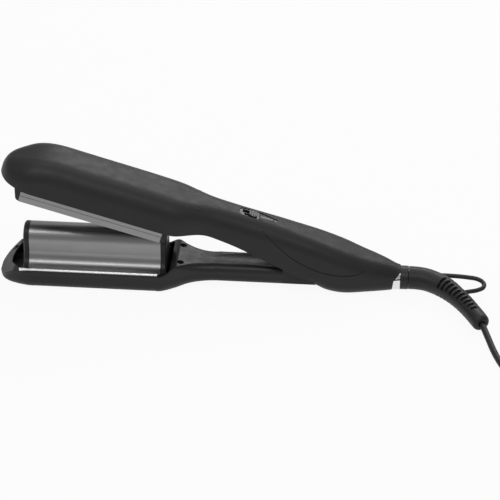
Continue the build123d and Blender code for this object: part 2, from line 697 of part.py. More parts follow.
def build_front_cap():
    """Front end of the upper plate: raked face, rounded lower corner, closed wall."""
    front, rear = CAP_FRONT_X, UPPER_PLATE_X[0]
    low = FLARE_Z - FLARE_RADIUS + PLATE_GAP
    rake = [(front, FLANK_TOP), (-61.9, low + 2), (-61.2, low + 0.7), (-60.0, low)]
    block = prism(arm_side(), rake + [(rear, low), (rear, FLANK_TOP)], FLANK_HALF)
    with BuildPart() as plan:
        with BuildSketch(arm_top(15)):
            with Locations((-53.2, 0)):
                Circle(FLANK_HALF)
        extrude(amount=14)
    with BuildPart() as inner:
        extrude(tall_face(arm_section(front), CROWN_OFFSET, FLANK_TOP - 0.4), amount=rear - front)
    above = [(front, FLANK_TOP - 0.4), (rear, FLANK_TOP - 0.4), (rear, 60), (front, 60)]
    return (block & plan.part) + (inner.part & ARM_LINING & prism(arm_side(), above))


def build_rear_cap():
    """Rear end of the upper plate: open arch below, closed wall above the carrier."""
    front = UPPER_PLATE_X[1]
    low = FLARE_Z - FLARE_RADIUS + PLATE_GAP
    with BuildPart() as cap:
        with BuildSketch(arm_section(front)):
            with Locations((0, (low + FLANK_TOP) / 2)):
                Rectangle(2 * FLANK_HALF - 0.4, FLANK_TOP - low)
        extrude(amount=REAR_CAP_X - front)
        extrude(tall_face(arm_section(front), CROWN_OFFSET, low + 3), amount=REAR_CAP_X - front)
        under = wave_face(arm_section(front), PLATE_GAP, 9, FLANK_HALF + 1)
        extrude(under, amount=REAR_CAP_X - front, mode=Mode.SUBTRACT)
        extrude(tall_face(arm_section(REAR_CAP_X), CROWN_OFFSET, CARRIER_Z), amount=CAP_WALL)
    heel = [(front + 1, low - 1), (REAR_CAP_X + 1, low + 3), (REAR_CAP_X + 1, low - 1)]
    return cap.part - prism(arm_side(), heel)


def build_upper_carrier():
    """Frame that closes the jaw housing underneath and holds the wave plate."""
    slot = WAVE_HALF + PLATE_GAP + PLATE_WALL + FIT
    top = CARRIER_Z + CARRIER_THICK
    band = ARM_LINING & prism(arm_side(), [(-80, CARRIER_Z), (59.2, CARRIER_Z), (59.2, top), (-80, top)])
    with BuildPart() as upper_carrier:
        add(band)
        front, rear = UPPER_PLATE_X
        add(slab(arm_top(20), front - 1, rear + 1, slot + 0.1, 20), mode=Mode.SUBTRACT)
        add(slab(arm_top(20), CAP_FRONT_X - FIT, front, slot + 1.0, 20), mode=Mode.SUBTRACT)
        add(slab(arm_top(20), rear, 60, slot + 1.0, 20), mode=Mode.SUBTRACT)
    return upper_carrier.part


SADDLE_X = 36.0
SADDLE_TOP = CROWN_Z + WAVE_HALF + PLATE_GAP + PLATE_WALL + 0.6
SADDLE_FOOT = SADDLE_TOP - 3.9
STRIP_TOP = SADDLE_TOP + 1.0
MICA_TOP = STRIP_TOP + 0.4


def build_upper_saddle():
    """Aluminium saddle between the round crown and the flat heater strip."""
    with BuildPart() as saddle:
        add(slab(arm_top(SADDLE_FOOT), -SADDLE_X, SADDLE_X, 8, SADDLE_TOP - SADDLE_FOOT))
        crown = tall_face(arm_section(-SADDLE_X - 1), PLATE_GAP + PLATE_WALL + 0.02, 30)
        extrude(crown, amount=2 * SADDLE_X + 2, mode=Mode.SUBTRACT)
    return saddle.part


def build_bezel():
    """Pointed-oval panel let into the neck, with the switch track and the button opening."""
    with BuildPart() as bezel:
        extrude(panel(arm_top(LIP_BOTTOM), 0), amount=BEZEL_TOP - LIP_BOTTOM)
        extrude(panel(arm_top(LIP_BOTTOM), PANEL_LIP), amount=LIP_TOP - LIP_BOTTOM)
        track = (KNOB[0] - SWITCH_TRAVEL - KNOB_GAP, KNOB[1] + KNOB_GAP)
        add(slab(arm_top(TRACK_FLOOR), *track, KNOB_HALF + KNOB_GAP, 5), mode=Mode.SUBTRACT)
        add(slab(arm_top(40), track[0] + 2, track[1] - 2, STEM_HALF + KNOB_GAP, 20), mode=Mode.SUBTRACT)
        extrude(taper(arm_top(40), BUTTON_GAP), amount=20, mode=Mode.SUBTRACT)
    return bezel.part


def build_power_switch():
    """Slide knob with three grip ribs and a stem down to the switch."""
    front, rear = KNOB
    with BuildPart() as knob:
        foot = TRACK_FLOOR + KNOB_GAP
        add(slab(arm_top(foot), front, rear, KNOB_HALF, KNOB_TOP - foot))
        for x in (front + 1.6, (front + rear) / 2, rear - 1.6):
            add(slab(arm_top(KNOB_TOP - 0.5), x - 0.4, x + 0.4, KNOB_HALF + 1, 2), mode=Mode.SUBTRACT)
        add(slab(arm_top(45.0), front + 2.2, rear - 2.2, STEM_HALF, TRACK_FLOOR - 44.5))
    return knob.part


def build_button():
    """Tapered push button, retained under the panel by a lip and carried on a stem."""
    with BuildPart() as button:
        extrude(taper(arm_top(LIP_BOTTOM - 0.2), 0), amount=BUTTON_TOP - LIP_BOTTOM + 0.2)
        extrude(taper(arm_top(LIP_BOTTOM - 1.1), 0.8), amount=1.0)
        add(disc(arm_top(BOARD_TOP + 3.6), 1.2, 2, (TACT_X, 0)))
        add(slab(arm_top(BUTTON_TOP - 0.6), *LENS_X, LENS_HALF, 2), mode=Mode.SUBTRACT)
    return button.part


def build_lens():
    with BuildPart() as lens:
        front, rear = LENS_X
        add(slab(arm_top(BUTTON_TOP - 0.6), front + FIT, rear - FIT, LENS_HALF - FIT, 0.65))
    return lens.part


def build_board():
    with BuildPart() as board:
        add(slab(arm_top(BOARD_Z), *BOARD_X, 12, BOARD_TOP - BOARD_Z))
        for x, y in BOARD_POSTS:
            add(disc(arm_top(BOARD_Z - 1), 1.15, 4, (x, y)), mode=Mode.SUBTRACT)
    return board.part


def build_switch_body():
    """Slide switch on the board with an open slot for the knob stem."""
    with BuildPart() as body:
        add(slab(arm_top(BOARD_TOP), 106, 120.2, 5, 5.3))
        slot = (KNOB[0] - SWITCH_TRAVEL + 1.8, KNOB[1] - 1.8)
        add(slab(arm_top(44.4), *slot, STEM_HALF + 0.15, 5), mode=Mode.SUBTRACT)
    return body.part


def build_tact_switch():
    with BuildPart() as tact:
        add(slab(arm_top(BOARD_TOP), TACT_X - 3, TACT_X + 2.3, 3, 1.8))
        add(disc(arm_top(BOARD_TOP + 1.8), 1.6, 0.9, (TACT_X, 0)))
    return tact.part


def build_hinge_pin():
    with BuildPart() as pin:
        with BuildSketch(side_view()):
            with Locations((HINGE_X, HINGE_Z)):
                Circle(PIN_RADIUS)
        extrude(amount=PIN_HALF, both=True)
    return pin.part


def build_hinge_spring():
    """Torsion spring round the pin; one leg presses on each arm."""
    mean = 5.0
    wire = 0.8
    pitch = 1.9
    low_slope = radians(30)
    high_slope = radians(28)
    turns = 4 + (pi - low_slope - high_slope) / (2 * pi)
    place = Plane(origin=(HINGE_X, turns * pitch / 2, HINGE_Z), x_dir=(sin(low_slope), 0, -cos(low_slope)),
                  z_dir=(0, -1, 0))
    coil = place * Helix(pitch=pitch, height=turns * pitch, radius=mean)
    low = Line(coil @ 0, coil @ 0 + Vector(-cos(low_slope), 0, -sin(low_slope)) * 24)
    high = Line(coil @ 1, coil @ 1 + Vector(-cos(high_slope), 0, sin(high_slope)) * 15)
    with BuildPart() as spring:
        for path in (coil, low, high):
            with BuildSketch(Plane(origin=path @ 0, z_dir=path % 0)):
                Circle(wire)
            sweep(path=path)
    return spring.part


# ---- cord end --------------------------------------------------------------------------------
def build_trim_ring():
    """Bright ring round the lower side of the cord end, with a fine joint line."""
    region = RING_FRONT + [(RING_X, -5), (RING_FOOT_X, -5)]
    joint = [(RING_X - 12, 13.3), (RING_X + 3, 13.3), (RING_X + 3, 12.9), (RING_X - 12, 12.9)]
    with BuildPart() as trim_ring:
        add(ARM)
        add(ARM_CORE, mode=Mode.SUBTRACT)
        add(prism(side_view(), joint) - ARM_SKIN, mode=Mode.SUBTRACT)
    return trim_ring.part & prism(side_view(), region)


def build_end_collar():
    """Dark collar that closes the handle and holds the swivel."""
    with BuildPart() as collar:
        with BuildSketch(side_view()):
            with BuildLine():
                bore = CORD_AXIS_Z + STEM_RADIUS + FIT
                spigot = CORD_AXIS_Z + SPIGOT_RADIUS
                rim = CORD_AXIS_Z + RING_HALF
                front = RING_X - 2.3
                Polyline((front, bore), (front, spigot), (RING_X, spigot), (RING_X, rim + 0.1),
                         (COLLAR_X - 0.6, rim), (COLLAR_X, rim - 0.6), (COLLAR_X, bore), close=True)
            make_face()
        revolve(axis=Axis((0, 0, CORD_AXIS_Z), (1, 0, 0)))
    return collar.part


def build_swivel_core():
    """Hollow stem of the swivel with the flange that keeps it in the collar."""
    with BuildPart() as stem:
        with BuildSketch(side_view()):
            with BuildLine():
                bore = CORD_AXIS_Z + CORD_DIAMETER / 2 + 0.1
                stem_top = CORD_AXIS_Z + STEM_RADIUS
                flange = CORD_AXIS_Z + SPIGOT_RADIUS - 0.2
                front, rear = RING_X - 4.8, COLLAR_X + STEM_REACH
                Polyline((front, bore), (front, flange), (front + 2.2, flange), (front + 2.2, stem_top),
                         (rear, stem_top), (rear, bore), close=True)
            make_face()
        revolve(axis=Axis((0, 0, CORD_AXIS_Z), (1, 0, 0)))
    return stem.part


# how far past the collar, y, z and radius of the boot there
BOOT_SHAPE = [(0.3, 0, 9.9, 9.0), (6.5, 0, 9.9, 9.0), (13.5, -1.4, 9.8, 8.9), (19.5, -4.4, 9.7, 8.8),
              (24.6, -7.8, 9.6, 8.7), (29.1, -11.7, 9.5, 8.5), (33.5, -16.5, 9.3, 8.1), (38.5, -22.8, 9.0, 7.6),
              (44.0, -30.9, 8.7, 7.25), (49.6, -40.5, 8.3, 7.0), (54.8, -50.2, 7.9, 6.9),
              (56.5, -53.6, 7.7, 6.4), (57.1, -54.9, 7.6, 4.6)]
BOOT = [(COLLAR_X + past, y, z, radius) for past, y, z, radius in BOOT_SHAPE]
BOOT_END = BOOT[-1][:3]
CORD_Z = CORD_DIAMETER / 2 + 1.1
TURN_PITCH = CORD_DIAMETER - 0.1
COIL_HALF = TURN_PITCH + CORD_DIAMETER / 2
COIL_STUB = 25.0
COIL_IN = (COIL_X - COIL_RADIUS * sin(pi / 4), COIL_Y - COIL_RADIUS * sin(pi / 4), CORD_Z)
COIL_OUT = (COIL_X + COIL_RADIUS * cos(radians(20)), COIL_Y + COIL_RADIUS * sin(radians(20)), CORD_Z)
IN_DIRECTION = Vector(1, -1, 0).normalized()
OUT_DIRECTION = Vector(-sin(radians(20)), cos(radians(20)), 0)
LEAD_END = tuple(Vector(*COIL_IN) - IN_DIRECTION * COIL_STUB)
TAIL_START = tuple(Vector(*COIL_OUT) + OUT_DIRECTION * COIL_STUB)
LEAD_BEND = tuple(Vector(*LEAD_END) - IN_DIRECTION * 13)
TAIL_BEND = tuple(Vector(*TAIL_START) + OUT_DIRECTION * 26)
LEAD = [BOOT_END, (COLLAR_X + 66.8, -87, CORD_Z + 1), LEAD_BEND, LEAD_END]
TAIL = [TAIL_START, TAIL_BEND, (COLLAR_X + 142.5, -27, 6.9), (COLLAR_X + 171.5, -21, 6.9)]


POCKETS = 10
POCKET_START = 0.38
POCKET_PITCH = 0.053
POCKET_DEPTH = 2.4


def boot_line():
    with BuildLine() as line:
        leave = Vector(*LEAD[1]) - Vector(*LEAD[0])
        Spline(*[spot[:3] for spot in BOOT], tangents=[Vector(1, 0, 0), leave])
    return line.edge()


def build_strain_relief():
    """Curved boot with narrowing pockets across the top and notches along both sides."""
    line = boot_line()
    loop = build_hang_loop()
    sections = []
    for x, y, z, radius in BOOT:
        along = line.param_at_point((x, y, z))
        ahead = line % along
        plane = Plane(origin=(x, y, z), x_dir=Vector(0, 0, 1).cross(ahead), z_dir=ahead)
        with BuildSketch(plane) as ring:
            Circle(radius)
        sections.append(ring.sketch)
    with BuildPart() as boot:
        loft(sections)
        socket = Plane(origin=(COLLAR_X, 0, CORD_AXIS_Z), z_dir=(1, 0, 0))
        add(disc(socket, STEM_RADIUS, STEM_REACH), mode=Mode.SUBTRACT)
        for count in range(POCKETS):
            along = POCKET_START + POCKET_PITCH * count
            spot = line @ along
            ahead = line % along
            radius = 8.6 - 0.17 * count
            plane = Plane(origin=spot, x_dir=Vector(0, 0, 1).cross(ahead), z_dir=ahead)
            with BuildSketch(plane):
                with Locations((0, radius)):
                    Rectangle(9.6 - 0.35 * count, 2 * POCKET_DEPTH)
            extrude(amount=1, both=True, mode=Mode.SUBTRACT)
            with BuildSketch(plane.offset(2)):
                with Locations((radius + 0.5, 0), (-radius - 0.5, 0)):
                    Rectangle(2.6, 5)
            extrude(amount=0.5, both=True, mode=Mode.SUBTRACT)
        add(loop, mode=Mode.SUBTRACT)
    return boot.part


# how far past the collar, y and z of the loop
LOOP = [(20, 2.0, 11.9), (31.5, 2.4, 11.7), (46.5, 2.0, 11.1), (53.5, 0.6, 10.8), (57.8, -3.4, 10.4),
        (58.0, -8.6, 10.1), (54.5, -12.2, 9.9), (45.5, -15.6, 9.7), (37.0, -18.4, 9.5)]
LOOP_WIRE = 2.7


def build_hang_loop():
    """Hanging loop moulded into the boot."""
    with BuildPart() as loop:
        with BuildLine() as path:
            Spline(*[(COLLAR_X + past, y, z) for past, y, z in LOOP])
        with BuildSketch(Plane(origin=path.line @ 0, z_dir=path.line % 0)):
            Circle(LOOP_WIRE / 2)
        sweep()
    return loop.part


def bend_radii(points):
    """Largest even bend at every corner that leaves straight runs between the bends."""
    radii = []
    for before, corner, after in zip(points, points[1:], points[2:]):
        arrive = Vector(*corner) - Vector(*before)
        leave = Vector(*after) - Vector(*corner)
        half_turn = radians(arrive.get_angle(leave)) / 2
        radii.append(0.45 * min(arrive.length, leave.length) / tan(half_turn))
    return radii


def build_cord(points):
    radii = bend_radii(points)
    print("bends", [round(radius, 1) for radius in radii])
    with BuildPart() as cord:
        with BuildLine() as path:
            FilletPolyline(*points, radius=radii)
        with BuildSketch(Plane(origin=path.line @ 0, z_dir=path.line % 0)):
            Circle(CORD_DIAMETER / 2)
        sweep()
    section = pi * CORD_DIAMETER ** 2 / 4
    length = path.wire().length
    print("cord volume", round(cord.part.volume), "section x length", round(section * length))
    return cord.part



def build_coil():
    """The rest of the cord wound into a neat round coil, three turns wide and three high."""
    middle = CORD_Z + TURN_PITCH
    with BuildPart() as coil:
        with BuildSketch(Plane(origin=(COIL_X, COIL_Y, 0), x_dir=(1, 0, 0), z_dir=(0, -1, 0))):
            with Locations((COIL_RADIUS, middle)):
                RectangleRounded(2 * COIL_HALF, 2 * COIL_HALF, CORD_DIAMETER / 2 - 0.1)
        revolve(axis=Axis((COIL_X, COIL_Y, 0), (0, 0, 1)))
        add(disc(Plane(origin=LEAD_END, z_dir=IN_DIRECTION), CORD_DIAMETER / 2, COIL_STUB))
        add(disc(Plane(origin=TAIL_START, z_dir=-OUT_DIRECTION), CORD_DIAMETER / 2, COIL_STUB))
    return coil.part


def build_tie():
    """Strap that follows the bundle of turns for a few degrees."""
    sweep_angle = 12
    start = radians(90 - sweep_angle / 2)
    outward = Vector(cos(start), sin(start), 0)
    across = outward.cross(Vector(0, 0, 1))
    with BuildPart() as tie:
        with BuildSketch(Plane(origin=(COIL_X, COIL_Y, 0), x_dir=outward, z_dir=across)):
            with Locations((COIL_RADIUS, CORD_Z + TURN_PITCH)):
                RectangleRounded(2 * COIL_HALF + 2.1, 2 * COIL_HALF + 2.1, 3)
                RectangleRounded(2 * COIL_HALF + 0.1, 2 * COIL_HALF + 0.1, 2, mode=Mode.SUBTRACT)
        revolve(axis=Axis((COIL_X, COIL_Y, 0), (0, 0, 1)), revolution_arc=sweep_angle)
    return tie.part


PLUG_LENGTH = 36.0
PLUG_AXIS = (Vector(*TAIL[-1]) - Vector(*TAIL[-2])).normalized()
PLUG_PLANE = Plane(origin=TAIL[-1], x_dir=Vector(0, 0, 1).cross(PLUG_AXIS), z_dir=PLUG_AXIS)
# distance along the plug, width, height, corner radius
PLUG_SHAPE = [(0, 9.6, 8.6, 4), (14, 13, 10.5, 4.8), (26, 30, 13.2, 6.2), (PLUG_LENGTH, 35.3, 13.7, 6.6)]
PIN_PLACES = [(9.3, 0), (-9.3, 0)]
SHANK_RADIUS = 1.2
SHANK_DEPTH = 8.0
SLEEVE_LENGTH = 10.0
TIP_RADIUS = 2.0
TIP_LENGTH = 9.0


def build_plug_body():
    """Flat two-pin plug body."""
    with BuildPart() as plug:
        for distance, wide, high, corner in PLUG_SHAPE:
            with BuildSketch(PLUG_PLANE.offset(distance)):
                RectangleRounded(wide, high, corner)
        loft(ruled=True)
        with BuildSketch(PLUG_PLANE.offset(PLUG_LENGTH - SHANK_DEPTH)):
            with Locations(*PIN_PLACES):
                Circle(SHANK_RADIUS)
        extrude(amount=SHANK_DEPTH + 2, mode=Mode.SUBTRACT)
    return plug.part


def build_plug_pins():
    """Steel pins: a slim shank through the body and the sleeve, and a full-size tip."""
    with BuildPart() as pins:
        with BuildSketch(PLUG_PLANE.offset(PLUG_LENGTH - SHANK_DEPTH)):
            with Locations(*PIN_PLACES):
                Circle(SHANK_RADIUS)
        extrude(amount=SHANK_DEPTH + SLEEVE_LENGTH)
        with BuildSketch(PLUG_PLANE.offset(PLUG_LENGTH + SLEEVE_LENGTH)):
            with Locations(*PIN_PLACES):
                Circle(TIP_RADIUS)
        extrude(amount=TIP_LENGTH)
        chamfer(pins.faces().sort_by(Axis(PLUG_PLANE.origin, PLUG_AXIS))[-2:].edges(), 0.6)
    return pins.part


def build_pin_sleeves():
    """Insulating sleeves on the root of each pin."""
    with BuildPart() as sleeves:
        with BuildSketch(PLUG_PLANE.offset(PLUG_LENGTH)):
            with Locations(*PIN_PLACES):
                Circle(TIP_RADIUS - 0.25)
                Circle(SHANK_RADIUS, mode=Mode.SUBTRACT)
        extrude(amount=SLEEVE_LENGTH)
    return sleeves.part


# ---- all pieces --------------------------------------------------------------------------------
save(build_lower_shell(), "lower_shell")
save(build_lower_cover(), "lower_cover")
COVER_HEADS = [(x, y, top - SCREW_RECESS) for x, y, top, foot in COVER_SCREWS]
save(screws(COVER_HEADS, SCREW_HEAD, SCREW_SHANK, 6, floor), "cover_screws")
save(build_rails(), "side_rails")
save(build_bushes(), "hinge_bushes")
save(build_cushions(), "plate_cushions")
save(build_lower_plate(), "lower_wave_plate")
save(build_lower_cap(LOWER_PLATE_X[0], -1), "lower_front_cap")
save(build_lower_cap(LOWER_PLATE_X[1], 1), "lower_rear_cap")
save(build_lower_carrier(), "lower_carrier")
save(build_lower_core(), "lower_heater_core")
save(build_lower_strip(), "lower_heater_strip")
save(build_upper_housing(), "upper_housing")
save(build_handle_cover(), "handle_cover")
HANDLE_HEADS = [(x, -y, -SCREW_DEPTH) for x, y in HANDLE_SCREWS]
save(screws(HANDLE_HEADS, SCREW_HEAD, SCREW_SHANK, 7, facing_down), "handle_screws")
save(build_neck_cover(), "neck_cover")
NECK_HEADS = [(x, -y, -NECK_SEAT) for x, y in NECK_SCREWS]
save(screws(NECK_HEADS, SCREW_HEAD, SCREW_SHANK, 7, arm_down), "neck_screws")
save(build_upper_carrier(), "upper_carrier")
save(build_upper_plate(), "upper_wave_plate")
save(build_front_cap(), "upper_front_cap")
save(build_rear_cap(), "upper_rear_cap")
save(build_upper_saddle(), "upper_heater_saddle")
STRIP_X = SADDLE_X - 2
save(slab(arm_top(SADDLE_TOP), -STRIP_X, STRIP_X, 7, STRIP_TOP - SADDLE_TOP), "upper_heater_strip")
save(slab(arm_top(STRIP_TOP), -SADDLE_X, SADDLE_X, 8, MICA_TOP - STRIP_TOP), "upper_mica_sheet")
save(build_hinge_pin(), "hinge_pin")
save(build_hinge_spring(), "hinge_spring")
save(build_bezel(), "control_bezel")
save(build_power_switch(), "power_switch")
save(build_button(), "temperature_button")
save(build_lens(), "indicator_lens")
save(build_board(), "circuit_board")
save(screws([(x, y, BOARD_TOP) for x, y in BOARD_POSTS], 1.9, 1.0, 6, arm_top), "board_screws")
save(build_switch_body(), "switch_body")
save(build_tact_switch(), "tact_switch")
save(build_trim_ring(), "trim_ring")
save(build_end_collar(), "end_collar")
save(build_swivel_core(), "swivel_core")
save(build_strain_relief(), "strain_relief")
save(build_hang_loop(), "hang_loop")
save(build_cord(LEAD), "cord_lead")
save(build_coil(), "cord_coil")
save(build_tie(), "cord_tie")
save(build_cord(TAIL), "cord_tail")
save(build_plug_body(), "plug_body")
save(build_plug_pins(), "plug_pins")
save(build_pin_sleeves(), "pin_sleeves")
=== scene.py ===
"""Looks of the hair waver: studio, camera, mains cord and the finish of every piece.

Metres, +Z up, jaws towards -X, cord towards +X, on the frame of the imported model.
"""
from math import atan2, cos, degrees, pi, radians, sin

import bmesh
import bpy
from mathutils import Matrix, Vector


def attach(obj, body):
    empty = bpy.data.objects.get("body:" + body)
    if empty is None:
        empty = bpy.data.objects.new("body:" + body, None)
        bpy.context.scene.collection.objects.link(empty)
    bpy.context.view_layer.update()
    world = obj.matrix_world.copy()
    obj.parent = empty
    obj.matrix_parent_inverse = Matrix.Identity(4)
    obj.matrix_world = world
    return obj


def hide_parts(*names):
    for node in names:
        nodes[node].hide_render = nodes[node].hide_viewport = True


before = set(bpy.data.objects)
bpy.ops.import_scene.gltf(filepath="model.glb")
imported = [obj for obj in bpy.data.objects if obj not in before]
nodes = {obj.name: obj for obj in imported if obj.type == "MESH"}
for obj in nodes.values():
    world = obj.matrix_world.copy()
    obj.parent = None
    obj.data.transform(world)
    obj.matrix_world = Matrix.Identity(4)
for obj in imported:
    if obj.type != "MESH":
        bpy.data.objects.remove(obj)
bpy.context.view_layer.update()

# ---- studio ------------------------------------------------------------------------------------
scene = bpy.context.scene
scene.view_settings.view_transform = "Standard"


def add_camera():
    """Long lens on the waver from in front and above."""
    side, rise, away = radians(4.6), radians(34), 1.82
    aim = Vector((0.120, 0, 0.029))
    back = Vector((sin(side) * cos(rise), -cos(side) * cos(rise), sin(rise)))
    lens = bpy.data.cameras.new("studio_camera")
    lens.lens = 169
    lens.sensor_width = 36
    lens.clip_end = 200
    camera = bpy.data.objects.new("studio_camera", lens)
    camera.location = aim + away * back
    camera.rotation_euler = back.to_track_quat("Z", "Y").to_euler()
    scene.collection.objects.link(camera)
    scene.camera = camera


add_camera()

# ---- mains cord --------------------------------------------------------------------------------
MM = 0.001
CORD_THICK = 5 * MM
BOOT_MOUTH = (300.0, -53.0, 7.8)
LEAD_ROUTE = [
    BOOT_MOUTH, (303.4, -64.2, 6.7), (310.3, -87.0, 3.4), (318.2, -105.4, 2.6), (327.6, -117.2, 2.9)]
TAIL_ROUTE = [
    (388.6, -82.0, 8.6), (381.0, -63.5, 3.6), (376.5, -45.0, 2.9), (386.0, -28.5, 5.6), (402.0, -23.7, 6.9),
    (417.0, -20.6, 6.9)]
COIL_MIDDLE = (366.0, -112.0)
# radius and height of each ring of the coil, in the order in which it is wound
COIL_RINGS = [
    (32.55, 3.6), (28.0, 3.6), (23.1, 3.6), (23.1, 8.5), (23.1, 13.4), (28.0, 13.4), (28.0, 8.5), (32.55, 8.5),
    (32.55, 13.4)]
COIL_START, COIL_LEAVE = 223, 380
STEPS_PER_TURN = 18
RING_CHANGE, CHANGE_LAG = 121, 12


def coil_turns():
    """Points of the wound turns; each turn eases over to the next ring on the side away from the lead."""
    last = len(COIL_RINGS) - 1
    end = COIL_LEAVE + 360 * last
    count = round((end - COIL_START) * STEPS_PER_TURN / 360)
    swell = 1 / cos(pi / STEPS_PER_TURN)
    route = []
    for step in range(count + 1):
        angle = COIL_START + (end - COIL_START) * step / count
        # from which ring to which, and how far past the angle where the tail leaves
        ring, past = divmod(angle - COIL_LEAVE, 360)
        ring = int(ring)
        eased = min(max((past - CHANGE_LAG * (last - 1 - ring)) / RING_CHANGE, 0), 1)
        eased = (1 - cos(pi * eased)) / 2
        before = COIL_RINGS[min(max(ring, 0), last)]
        after = COIL_RINGS[min(ring + 1, last)]
        radius = (before[0] + (after[0] - before[0]) * eased) * swell
        height = before[1] + (after[1] - before[1]) * eased
        spot = radians(angle)
        route.append((COIL_MIDDLE[0] + radius * cos(spot), COIL_MIDDLE[1] + radius * sin(spot), height))
    return route


def smooth_cord(name, route, thick):
    """Round cord along one NURBS line."""
    curve = bpy.data.curves.new(name, "CURVE")
    curve.dimensions = "3D"
    curve.resolution_u = 6
    curve.bevel_depth = 1
    curve.bevel_resolution = 4
    curve.use_fill_caps = True
    line = curve.splines.new("NURBS")
    line.points.add(len(route) - 1)
    for point, spot in zip(line.points, route):
        point.co = (spot[0] * MM, spot[1] * MM, spot[2] * MM, 1)
        point.radius = thick / 2
    line.order_u = 3
    line.use_endpoint_u = True
    cord = bpy.data.objects.new(name, curve)
    scene.collection.objects.link(cord)
    return cord


mains_cord = smooth_cord("mains_cord", LEAD_ROUTE + coil_turns() + TAIL_ROUTE, CORD_THICK)
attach(mains_cord, "cord_end")
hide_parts("cord_lead", "cord_coil", "cord_tail")


# ---- strain relief and hanging loop ------------------------------------------------------------
COLLAR_FACE = 243.5
# how far past the collar, y, z and radius of the boot there
BOOT_FORM = [
    (0.3, 0, 9.9, 9.0), (6.5, 0, 9.9, 9.0), (13.5, -1.4, 9.8, 8.9), (19.5, -4.4, 9.7, 8.8), (24.6, -7.8, 9.6, 8.7),
    (29.1, -11.7, 9.5, 8.5), (33.5, -16.5, 9.3, 8.1), (38.5, -22.8, 9.0, 7.6), (44.0, -30.9, 8.7, 7.25),
    (49.6, -40.5, 8.3, 7.0), (54.8, -50.2, 7.9, 6.9), (56.5, -53.6, 7.7, 6.4), (57.1, -54.9, 7.6, 4.6)]
BOOT_SIDES = 40
BOOT_START = (6.5, 5.2)
BOOT_LIP = [(-0.22, 5.2), (-0.22, 8.8), (-0.21, 8.95), (0.1, 9.0)]
NECK_STOPS = [0.5, 3, 8, 13, 17, 21, 24.5, 27.2]
TIP_STOPS = [74.5, 77.5, 79.6, 80.9, 82.2, 83.2]
FIRST_POCKET, POCKET_STEP, POCKETS, POCKET_WIDE = 30.4, 4.45, 10, 2.75
POCKET_BORDER, POCKET_DEPTH, NOTCH_BORDER, NOTCH_DEPTH, WALL_SLOPE = 0.15, 2.6, 0.25, 0.8, 0.2
LOOP_RADIUS = 1.75
LOOP_FORM = [
    (20, 2.0, 11.9), (31.5, 2.4, 11.7), (46.5, 2.0, 11.1), (53.5, 0.6, 10.8), (57.8, -3.4, 10.4), (58.0, -8.6, 10.1),
    (54.5, -12.2, 9.9), (45.5, -15.6, 9.7), (37.0, -18.4, 9.5)]


def finished(name, shape, body, slot, *replaced):
    """A new piece from a bmesh, riding on a body."""
    mesh = bpy.data.meshes.new(name)
    shape.to_mesh(mesh)
    shape.free()
    mesh.polygons.foreach_set("use_smooth", [True] * len(mesh.polygons))
    piece = bpy.data.objects.new(name, mesh)
    scene.collection.objects.link(piece)
    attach(piece, body)
    if replaced:
        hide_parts(*replaced)
    return piece


def boot_distances():
    """Distance along the boot of each row of its form."""
    reach = [0.0]
    for before, after in zip(BOOT_FORM, BOOT_FORM[1:]):
        reach.append(reach[-1] + (Vector(after[:3]) - Vector(before[:3])).length)
    return reach


BOOT_REACH = boot_distances()


def boot_place(reach, radius=None):
    """Matrix that lays a unit ring across the boot at a distance along it."""
    row = max(i for i in range(len(BOOT_FORM) - 1) if BOOT_REACH[i] <= max(reach, 0))

    def slope(i):
        low, high = max(i - 1, 0), min(i + 1, len(BOOT_FORM) - 1)
        run = BOOT_REACH[high] - BOOT_REACH[low]
        return [(b - a) / run for a, b in zip(BOOT_FORM[low], BOOT_FORM[high])]

    run = BOOT_REACH[row + 1] - BOOT_REACH[row]
    t = (reach - BOOT_REACH[row]) / run
    values, ahead = [], []
    for k in range(4):
        a, b = BOOT_FORM[row][k], BOOT_FORM[row + 1][k]
        m, n = slope(row)[k] * run, slope(row + 1)[k] * run
        values.append(
            (2 * t ** 3 - 3 * t ** 2 + 1) * a + (t ** 3 - 2 * t ** 2 + t) * m + (3 * t ** 2 - 2 * t ** 3) * b
            + (t ** 3 - t ** 2) * n)
        ahead.append(
            (6 * t * t - 6 * t) * a + (3 * t * t - 4 * t + 1) * m + (6 * t - 6 * t * t) * b
            + (3 * t * t - 2 * t) * n)
    ahead = Vector(ahead[:3]).normalized()
    across = Vector((0, 0, 1)).cross(ahead).normalized()
    lift = ahead.cross(across)
    size = (radius or values[3]) * MM
    place = Matrix((across * size, lift * size, ahead * MM)).transposed().to_4x4()
    place.translation = Vector((COLLAR_FACE + values[0], values[1], values[2])) * MM
    return place


def boot_faces(faces, place, middle, half):
    """Faces of one band within half of an angle, measured round the boot."""
    undo = place.inverted()
    chosen = []
    for face in faces:
        spot = undo @ face.calc_center_median()
        turn = degrees(atan2(spot.y, spot.x)) - middle
        turn = (turn + 180) % 360 - 180
        if abs(turn) < half:
            chosen.append(face)
    return chosen


